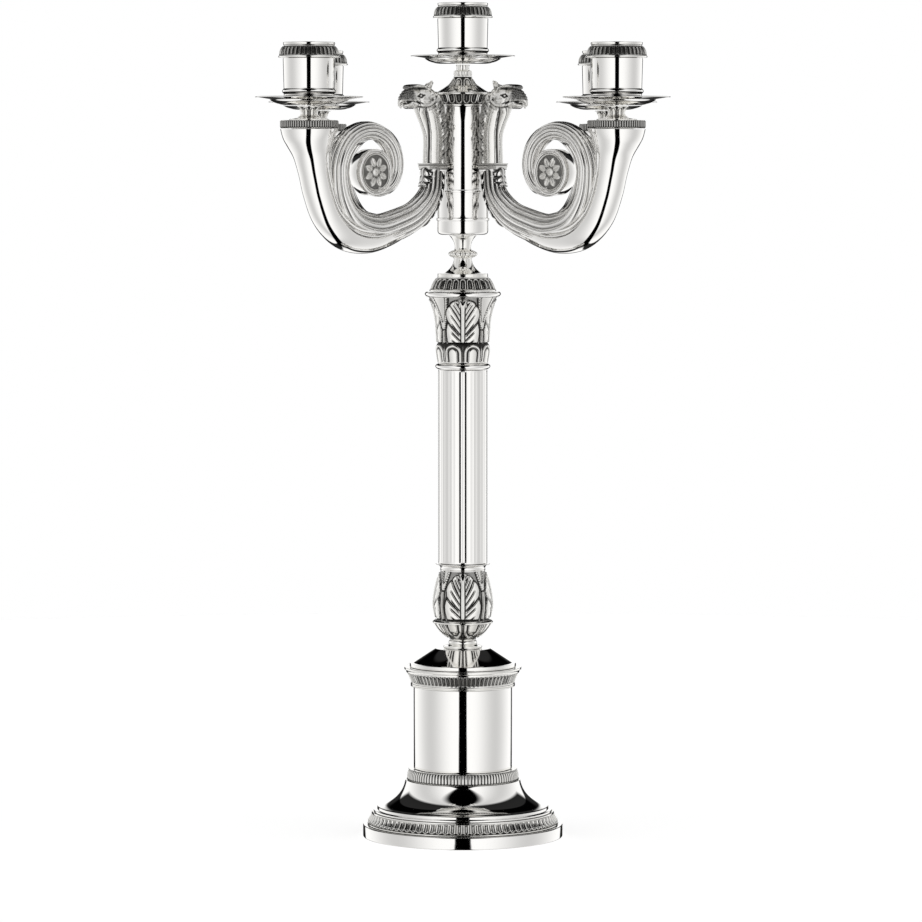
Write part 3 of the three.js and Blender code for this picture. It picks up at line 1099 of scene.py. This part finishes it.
@dataclass(frozen=True)
class Arm:
    """A horn of plenty with a ribbed band that leaves it to curl into a volute, drawn along +X.

    The rows of the band and the horn are distance out, height and half sizes.
    """

    eye: tuple[float, float] = (83.5, 439.4)
    eye_radius: float = 14.8
    eye_half: float = 5.2
    ribs: int = 14
    band: tuple = ((27.3, 440.7, 8.2, 5.2), (30, 426, 8.4, 5.8), (42, 413.4, 9.2, 7),
                   (62, 405, 10.2, 8.5), (83, 401.3, 10.4, 9.3), (102, 407, 9.6, 8.8),
                   (112.6, 422, 7.6, 7.8), (115.3, 437, 6.3, 7.2))
    horn: tuple = ((46, 407, 4), (58, 402.8, 6.6), (72, 399.2, 8.6), (90, 396.8, 9.8),
                   (108, 400.5, 10.6), (121.5, 411, 10.5), (129.6, 427, 10.4), (133.4, 441, 10.8),
                   (135.6, 452.5, 13.0), (137.1, 459.5, 15.8), (137.8, 463.5, 17.5), (137.9, 466.7, 18.4))

    def band_rows(self) -> Array:
        """Runs the ribbed band's curve down from the collar, round the bend and into the volute.

        Returns:
            The curve's rows, as for a sweep.
        """
        t = np.linspace(0.02, 1, 34)
        turn, radius = 1.45 * math.pi * t, 32 - 20.5 * t**1.3
        coil = np.stack([self.eye[0] + radius * np.cos(turn), self.eye[1] + radius * np.sin(turn),
                         6.2 - 2.4 * t, 7.2 - 2.2 * t], axis=1)
        return spline(np.vstack([self.band, coil]), 210)

    def build(self) -> Piece:
        """Builds one arm with its leaves, in the plane of +X.

        Returns:
            The arm, not yet dressed.
        """
        rows = self.band_rows()
        return joined("arm", [self._band(rows), self._horn(), self._volute_eye(),
                              Leaf(0.0, 1.25, 17, 4, curl=0.6).build(rows),
                              Leaf(math.pi, 1.3, 34, 6, lift=0.3, curl=0.8).build(rows)])

    def _band(self, rows: Array) -> Piece:
        """Sweeps the ribbed band, blackens its grooves and paints shade on it just under the collar.

        Args:
            rows: The band's curve.

        Returns:
            The band.
        """
        across = np.linspace(0, 2 * math.pi, self.ribs * 8, endpoint=False)
        ridge = np.abs(np.sin(across * self.ribs / 2))
        depth = 0.13 - 0.03 * np.cos(across) ** 2
        band = swept("band", rows, squarish(across, 2.5) * (1 - depth * (1 - ridge)))
        # Painted shade: the band is darkened for about twenty rows under the collar, all but the rib
        # crests; the grooves elsewhere carry tarnish.
        shade_under_collar = step(20, 7, np.arange(len(rows)))[:, None]
        groove = (step(0.62, 0.15, ridge) * 0.6 + 0.8 * shade_under_collar * step(1.0, 0.7, ridge)).ravel()
        write_patina_and_shade(band, np.concatenate([groove, [1, 1]]))
        return band

    def _horn(self) -> Piece:
        """Sweeps the plain horn up to its flared mouth.

        Returns:
            The horn.
        """
        rows = spline(self.horn, 90)
        horn = swept("horn", np.column_stack([rows, rows[:, 2]]), np.ones(72))
        write_patina_and_shade(horn)
        return horn

    def _volute_eye(self) -> Piece:
        """Turns the eye on its own axis, with a recess on each side and a hole for the rosette.

        Returns:
            The eye.
        """
        w, r = self.eye_half, self.eye_radius
        half = [(3.4, w - 1.6), (12.4, w - 1.6), (12.5, w - 0.2), (12.8, w), (14.4, w), (r, w - 0.4)]
        ring = half + [(a, -h) for a, h in reversed(half)] + [half[0]]
        eye = lathe("eye", [(a * MM, h * MM) for a, h in ring], 128)
        write_patina_and_shade(eye)
        return placed(eye, at_eye(self.eye))


@dataclass(frozen=True)
class Rosette:
    """A double-faced flower stud in the eye of an arm's volute.

    The back and the ground of each flower are measured from the middle of the stud.
    """

    eye: tuple[float, float] = Arm.eye
    petals: int = 8
    radius: float = 12.0
    back: float = 3.9
    ground: float = 4.2
    relief: float = 1.1

    def build(self) -> Piece:
        """Builds the stud, in the plane of +X.

        Returns:
            The stud, with its ground blackened and not yet dressed.
        """
        faces = [placed(self._face(), at_eye(self.eye, side)) for side in (1, -1)]
        deselect()
        bpy.ops.mesh.primitive_cylinder_add(vertices=32, radius=3 * MM, depth=8 * MM)
        shank = placed(bpy.context.object, at_eye(self.eye))
        write_patina_and_shade(shank)
        return joined("rosette", [*faces, shank])

    def _face(self) -> Piece:
        """Chases one flower, facing +Z.

        Returns:
            The flower, closed behind.
        """
        n, m = 36, 160
        radius = np.linspace(0.02, 1, n)[:, None] * self.radius
        turn = np.linspace(0, 2 * math.pi, m, endpoint=False)[None, :]
        level = np.zeros((n, m))
        for shift, tip, width in ((0.0, 10.2, 0.95), (0.5, 7.4, 0.3)):
            cycle = turn * self.petals / (2 * math.pi) + shift
            u = 2 * (cycle - np.floor(cycle)) - 1
            share = np.clip((radius - 3.3) / (tip - 3.3), 0, 1)
            edge = width * np.sin(np.pi * share**0.75) ** 0.75 * (radius < tip)
            petal = step(0, 0.25, edge - np.abs(u)) * (1 - 0.45 * bump(u, 0, 0.12))
            level = np.maximum(level, petal * (0.8 + 0.25 * share - 0.15 * shift))
        boss, ring = dome(radius / 2.6) * 1.1, bump(radius, 2.9, 0.35) * 0.8
        rim = step(11.0, 11.4, radius) * 0.75
        level = np.maximum(level, np.maximum.reduce([boss, ring, rim]))
        height = self.ground + self.relief * level
        top = np.stack([radius * np.cos(turn), radius * np.sin(turn), height], axis=-1).reshape(-1, 3)
        low = top[-m:].copy()
        low[:, 2] = self.back
        peak = self.ground + self.relief * 1.1
        points = np.vstack([top, low, [(0, 0, peak), (0, 0, self.back)]]) * MM
        faces = quads(n + 1, m)
        top_hub, low_hub = (n + 1) * m, (n + 1) * m + 1
        faces += [(top_hub, (j + 1) % m, j) for j in range(m)]
        faces += [(low_hub, n * m + j, n * m + (j + 1) % m) for j in range(m)]
        flower = new_object("flower", points, [], faces)
        face_outwards(flower)
        darkening = 0.82 * step(0.62, 0.2, level.ravel())
        write_patina_and_shade(flower, np.concatenate([darkening, np.zeros(m + 2)]))
        return flower


@dataclass(frozen=True)
class Eagle:
    """An eagle's neck and head that rise from an arm's collar and look outwards along +X.

    It is joined from balls and lofts, whose rows are those of a sweep.
    """

    neck: tuple = ((27.2, 444.6, 8.8, 5.3), (27.0, 450, 8.9, 5.1), (26.6, 457, 8.9, 5.0),
                   (26.8, 465, 9.3, 5.1), (28.9, 474, 10.6, 5.4), (32.2, 482, 11.3, 5.9),
                   (34.8, 487, 10.6, 5.8))
    collar: tuple[float, float, float] = (27.3, 0.0, 443.1)
    voxel: float = 0.48

    def build(self) -> Piece:
        """Joins the head's lumps into one skin, then cuts the feathers.

        Returns:
            The eagle with its collar, not yet dressed.
        """
        skin = joined("eagle", [
            self._loft(self.neck, 40, 2.7),
            self._ball((36.5, 0, 487.4), (11.2, 6.6, 7.6)),
            self._ball((46, 0, 488.2), (7, 5.2, 5.4)),
            self._ball((37, 4.4, 484.6), (7.6, 2.4, 3.9)),
            self._ball((37, -4.4, 484.6), (7.6, 2.4, 3.9)),
            self._loft(((44, 488.4, 5.6, 4.6), (49, 489.0, 4.9, 3.6), (53, 488.0, 4.0, 2.7),
                        (56.2, 486.0, 2.6, 1.9), (58.0, 483.8, 1.5, 1.2), (58.6, 481.6, 0.5, 0.5)),
                       24, 2.2),
            self._loft(((42, 483.8, 2.8, 4.0), (48, 483.0, 1.7, 3.2), (53.6, 482.4, 1.0, 2.0),
                        (55.6, 482.4, 0.5, 1.0)), 20, 2.0),
            self._loft(((34.5, 493.2, 0.6, 4.0), (41, 494.9, 1.0, 5.7), (48, 495.0, 1.1, 5.4),
                        (52.2, 493.9, 0.8, 3.2)), 24, 3.2),
            self._loft(((37, 492.5, 2.2, 2.2), (32, 495.2, 1.9, 2.0), (28.2, 498.8, 0.6, 0.8)), 16, 2.0),
        ])
        modify(skin, "REMESH", mode="VOXEL", voxel_size=self.voxel * MM)
        modify(skin, "SMOOTH", iterations=3)
        self._feather(skin)
        hollow_patina(skin, 0.1, 8)
        self._shade_plumage(skin)
        eyes = [self._ball((43.4, side * 5.0, 488.8), (0.9, 0.7, 0.6)) for side in (1, -1)]
        for ball in eyes:
            write_patina_and_shade(ball)
        return joined("eagle", [skin, *eyes, self._collar()])

    @staticmethod
    def _ball(middle: tuple, size: tuple) -> Piece:
        """Adds a stretched sphere.

        Args:
            middle: Where its middle is, in millimetres.
            size: Its three half sizes, in millimetres.

        Returns:
            The sphere.
        """
        deselect()
        bpy.ops.mesh.primitive_uv_sphere_add(segments=40, ring_count=24, radius=1)
        stretch = Matrix.Diagonal((*(half * MM for half in size), 1))
        return placed(bpy.context.object, Matrix.Translation(Vector(middle) * MM) @ stretch)

    @staticmethod
    def _loft(stations: tuple, count: int, squareness: float) -> Piece:
        """Sweeps a closed lump through stations.

        Args:
            stations: Rows of a sweep.
            count: How many rows the lump has.
            squareness: 2 for a round section and more for a squarish one.

        Returns:
            The lump.
        """
        around = np.linspace(0, 2 * math.pi, 48, endpoint=False)
        return swept("loft", spline(stations, count), squarish(around, squareness))

    def _local(self, points: Array) -> tuple[Array, ...]:
        """Places points against the neck, in millimetres.

        Args:
            points: The points, in metres.

        Returns:
            How far out they are from the neck's line, how far across, their height and how far
            out they are from the candelabrum's axis.
        """
        line = spline(self.neck, 60)
        x, y, z = points.T / MM
        return x - np.interp(z, line[:, 1], line[:, 0]), y, z, x

    def _feather(self, skin: Piece) -> None:
        """Narrows the throat, then cuts the plumage of the nape, the brow, the sockets and the gape.

        Args:
            skin: The head and neck.
        """
        points, facing = read_rows(skin, "co"), read_rows(skin, "normal")
        out, y, z, x = self._local(points)
        below = step(483, 477, z)
        points[:, 1] *= 1 - 0.4 * step(1.0, 8.5, out) * below
        edge = -3.4 + 0.05 * np.maximum(z - 462, 0) + 0.5 * np.abs(np.sin(0.75 * z))
        nape = step(0.4, -0.4, out - edge) * step(491, 486, z)
        row = (z + 0.9 * out) / 4.6
        lane = y / 3.4 + 0.5 * (np.floor(row) % 2)
        u = np.abs(2 * (lane - np.floor(lane)) - 1)
        v = 1 - (row - np.floor(row))
        scale = step(0.0, 0.3, 1 - np.hypot(u, v * 0.9)) * (0.35 + 0.65 * v)
        barbs = 0.14 * np.sin(7 * y + 3 * z)
        lift = nape * (1.3 * scale - 0.2 + barbs)
        crown = step(24, 30, x) * step(489, 493, z) * step(40, 36, x)
        lift += crown * 0.3 * np.sin(2.1 * y) * np.sin(1.3 * x)
        side = step(2.5, 4.0, np.abs(y))
        lift -= side * step(1.15, 0.75, self._socket(x, z)) * 1.1
        gape = step(40, 44, x) * bump(z, 484.9 - 0.02 * (x - 50) ** 2, 0.5)
        lift -= 0.9 * gape * step(0.8, 1.6, np.abs(y))
        jaw = bump(np.hypot((x - 40) / 1.25, z - 490) - 7.6, 0, 0.6) * side * step(489, 486, z)
        lift += 0.7 * jaw
        locks = step(23, 27, x) * step(38, 34, x) * side * step(477, 480, z)
        lift += 0.14 * locks * np.sin(2.0 * (z - 480) + 1.1 * (x - 30)) * step(494, 490, z)
        lift -= 0.7 * bump(out, 6.6, 0.7) * below * step(1.5, 2.5, np.abs(y))
        cere = step(47.5, 50, x) * step(485.6, 486.6, z)
        lift += 0.3 * cere * np.sin(2.3 * x + 1.8 * z) * np.sin(2.6 * z - 1.1 * x)
        put(skin, points + facing * (lift * MM)[:, None])

    @staticmethod
    def _socket(x: Array, z: Array) -> Array:
        """Distance from the eye's middle, where 1 is the edge of its almond."""
        along = (x - 43.2) / 3.3
        return np.abs(along) + np.abs(z - 488.9 + 0.16 * (x - 43.2)) / 1.5 * (1 + 0.4 * along**2)

    def _shade_plumage(self, skin: Piece) -> None:
        """Deepens the tarnish on the beak, the throat's edges and between the feathers, and paints shade
        on the top of the brow where it faces up.

        Args:
            skin: The head and neck.
        """
        points, facing = read_rows(skin, "co"), read_rows(skin, "normal")
        out, y, z, x = self._local(points)
        held = np.zeros(len(points), np.float32)
        skin.data.attributes["patina_and_shade"].data.foreach_get("value", held)
        below = step(483, 476, z)
        base = 0.05 + 0.35 * step(-3.0, -4.2, out) * step(491, 484, z)
        base += 0.85 * bump(out, 6.8, 0.9) * below * step(1.2, 2.2, np.abs(y))
        # Painted shade: the top of the brow is darkened wherever it faces up.
        base += 0.8 * step(0.6, 0.9, facing[:, 2]) * step(494, 495.4, z) * step(31, 35, x)
        speckle = 0.5 + 0.5 * np.sin(2.3 * x + 1.8 * z) * np.sin(2.6 * z - 1.1 * x)
        base += (0.45 + 0.5 * speckle) * step(46.8, 49.5, x) * step(485.4, 486.8, z)
        base += 0.8 * step(1.3, 0.9, self._socket(x, z)) * step(2.5, 4.0, np.abs(y))
        smooth = step(-3.2, -2.6, out) * step(6.0, 5.4, out) * step(482, 478, z)
        smooth *= step(1.6, 2.4, np.abs(y))
        write_patina_and_shade(skin, np.maximum(base, held) * (1 - 0.97 * smooth))

    def _collar(self) -> Piece:
        """Moulds the oblong collar that grips the foot of the neck, with its peg.

        Returns:
            The collar.
        """
        middle = self.collar[0]
        deselect()
        bpy.ops.mesh.primitive_cube_add(size=1, location=(0, 0, 0))
        collar = placed(bpy.context.object, Matrix.Translation(Vector(self.collar) * MM)
                        @ Matrix.Diagonal((17.8 * MM, 11 * MM, 4.2 * MM, 1)))
        bpy.ops.object.mode_set(mode="EDIT")
        bpy.ops.mesh.select_all(action="SELECT")
        bpy.ops.mesh.subdivide(number_cuts=14)
        bpy.ops.mesh.select_all(action="DESELECT")
        bpy.ops.object.mode_set(mode="OBJECT")
        points = read_rows(collar, "co") / MM
        narrow = 1 - 0.1 * step(444.6, 441.2, points[:, 2]) - 0.08 * bump(points[:, 2], 444.0, 0.3)
        points[:, 0] = middle + (points[:, 0] - middle) * narrow
        points[:, 1] *= narrow
        put(collar, points * MM)
        deselect()
        bpy.ops.mesh.primitive_cylinder_add(vertices=24, radius=2 * MM, depth=10 * MM)
        peg = placed(bpy.context.object, Matrix.Translation(Vector((17.4, 0, self.collar[2])) * MM)
                     @ Matrix.Rotation(QUARTER_TURN, 4, "Y"))
        whole = joined("collar", [collar, peg])
        points = read_rows(whole, "co") / MM
        write_patina_and_shade(whole, 0.06 + 0.9 * step(441.5, 441.1, points[:, 2])
                     + 0.9 * bump(points[:, 2], 444.0, 0.35))
        return whole


@dataclass(frozen=True)
class Branches:
    """The four arms, with their rosettes, eagles and mouth caps."""

    reeds: int = 70
    knop_leaves: int = 8

    def build(self) -> None:
        """Builds one of each part and copies it to every place."""
        branch = Body.BRANCH.value
        for kind, master, slot, finish, angle in (
                ("arm", Arm().build(), Slot.POLISHED, HORN, 50.0),
                ("rosette", Rosette().build(), Slot.SATIN, CHASED, 60.0),
                ("eagle", Eagle().build(), Slot.SATIN, PLUMAGE, 60.0)):
            smooth_shade(master, angle)
            for place, azimuth in PLACES.items():
                twin = copied(master, f"{kind}_{place}_finished",
                              Matrix.Rotation(math.radians(azimuth), 4, "Z"))
                finish_piece(twin, branch, finish, f"{kind}_{place}")
            bpy.data.objects.remove(master)
        for place in PLACES:
            self.mouth_cap(place).build()

    def mouth_cap(self, place: str) -> Turned:
        """Describes the reeded cap that closes one horn's mouth and carries its light.

        Args:
            place: The arm's name.

        Returns:
            The turned piece.
        """
        reeds = Relief(Motif.REED, self.reeds, 0.4, 5.0, 0.8, rows=5, samples=8, soot=(1.22, 0.7))
        knop = Relief(Motif.TONGUE, self.knop_leaves, 7.2, 13.5, 0.9, rows=14, samples=24,
                      soot=(0.75, 0.15))
        return Turned(f"mouth_cap_{place}", (
            (0, 0), (18.2, 0), (18.6, 0.5), (18.6, 4.8), (18, 5.2), (12.8, 5.2), (12.7, 5.9), (7.9, 6.9),
            (5.4, 9.6, -0.5), (7.7, 13.6, -0.4), (7.7, 14.1), (0, 14.1)),
            Slot.RELIEF, RELIEF, (reeds, knop), body=Body.BRANCH.value)


# ---------------------------------------------------------------- studio


@dataclass(frozen=True)
class Studio:
    """A white tent, bright all round, with a dark slot at the front and dark cloth high behind.

    Lengths are in metres and the slot's half width in degrees.
    """

    camera_back: float = 2.908
    camera_high: float = 0.437
    aim: tuple[float, float, float] = (-0.0012, 0.0, 0.2493)
    lens: float = 172.5
    slot_turn: float = 9.0
    floor_radius: float = 1.5
    floor_gap: float = 0.0002
    floor_glow: float = 0.72

    def build(self) -> None:
        """Makes the camera, the surroundings and the floor."""
        self._camera()
        self._surroundings()
        self._floor()

    def _camera(self) -> None:
        """Places the camera level with the arms, looking slightly down."""
        lens = bpy.data.cameras.new("view")
        lens.lens = self.lens
        lens.sensor_width = 36.0
        lens.clip_end = 60.0
        camera = bpy.data.objects.new("view", lens)
        bpy.context.scene.collection.objects.link(camera)
        camera.location = (self.aim[0], -self.camera_back, self.camera_high)
        camera.rotation_euler = (Vector(self.aim) - camera.location).to_track_quat("-Z", "Y").to_euler()
        bpy.context.scene.camera = camera

    def _surroundings(self) -> None:
        """Paints the tent on the world: what the silver mirrors."""
        world = bpy.data.worlds.new("tent")
        bpy.context.scene.world = world
        bpy.context.scene.view_settings.view_transform = "Standard"
        world.use_nodes = True
        graph = Graph(world.node_tree)
        maths, ramp = graph.maths, graph.ramp
        direction = graph.add("TexCoord").outputs["Generated"]
        x, y, z = graph.add("SeparateXYZ", {0: direction}).outputs
        front = maths("MULTIPLY", y, -1.0)
        turn = maths("DEGREES", maths("ABSOLUTE", maths("ARCTAN2", x, front)))
        side = maths("ABSOLUTE", maths("SUBTRACT", turn, 82.0))
        walls = ramp(side, 0.0, 62.0, 0.66, 1.08)
        wider = maths("MULTIPLY", maths("MAXIMUM", maths("SUBTRACT", z, 0.22), 0.0), 42.0)
        inner = maths("SUBTRACT", turn, wider)
        slot = ramp(inner, self.slot_turn - 0.8, maths("ADD", wider, self.slot_turn + 0.8), 0.0, 1.0)
        overhead = maths("ADD", y, maths("MULTIPLY", maths("MAXIMUM", z, 0.0), 0.9))
        cloth = maths("MAXIMUM", ramp(overhead, 0.78, 0.94, 1.0, 0.02), ramp(z, 0.22, 0.36, 1.0, 0.0))
        flanks = maths("ABSOLUTE", maths("SUBTRACT", turn, 162.0))
        strips = ramp(flanks, 8.0, 11.0, 0.02, 1.0)
        gap = ramp(maths("ABSOLUTE", x), 0.14, 0.18, 0.0, 1.0)
        for axis, start, end in ((z, -0.3, -0.1), (y, 0.35, 0.6)):
            gap = maths("MAXIMUM", gap, ramp(axis, start, end, 0.0, 1.0))
        skirting = maths("MAXIMUM", ramp(y, 0.86, 0.94, 1.0, 0.03), ramp(z, -0.2, -0.13, 0.0, 1.0))
        light = maths("MULTIPLY", maths("MULTIPLY", walls, slot), maths("MULTIPLY", cloth, strips))
        light = maths("MULTIPLY", light, maths("MULTIPLY", gap, skirting))
        seen = graph.add("LightPath").outputs["Is Camera Ray"]
        strength = graph.add("Mix", {"Factor": seen, "A": light, "B": 1.0}).outputs["Result"]
        graph.fill(world.node_tree.nodes["Background"], {"Color": (1, 1, 1, 1), "Strength": strength})

    def _floor(self) -> None:
        """Lays a pale disc under the object."""
        deselect()
        bpy.ops.mesh.primitive_circle_add(vertices=128, radius=self.floor_radius, fill_type="NGON",
                                          location=(0, 0, -self.floor_gap))
        floor = bpy.context.object
        floor.name = "floor"
        paper = bpy.data.materials.new("pale_paper")
        paper.use_nodes = True
        Graph(paper.node_tree).dress(
            Base_Color=(0.9, 0.9, 0.9, 1), Roughness=0.9, Specular_IOR_Level=0.1,
            Emission_Color=(1, 1, 1, 1), Emission_Strength=self.floor_glow)
        floor.data.materials.append(paper)
        floor.visible_glossy = False


# ---------------------------------------------------------------- assembly


def dress_hidden() -> None:
    """Gives the parts inside the base and the column their materials, on the frame's own meshes."""
    hidden = dict.fromkeys(("base_plate", "base_nut", "tie_rod", "top_nut", "socket_tube"),
                           (STEEL, Slot.STEEL))
    hidden |= {"ballast": (IRON, Slot.IRON), "felt_pad": (FELT, Slot.FELT)}
    for name, (finish, slot) in hidden.items():
        dress_with(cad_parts[name], finish)


def main() -> None:
    """Builds the studio and every sub-assembly."""
    logging.basicConfig(level=logging.INFO, format="%(name)s: %(message)s")
    for part in (Studio(), Plinth(), Column(), Hub(), Branches()):
        part.build()
    dress_hidden()
    for place in ("centre", *PLACES):
        Light(place).build()


if __name__ == "__main__":
    main()
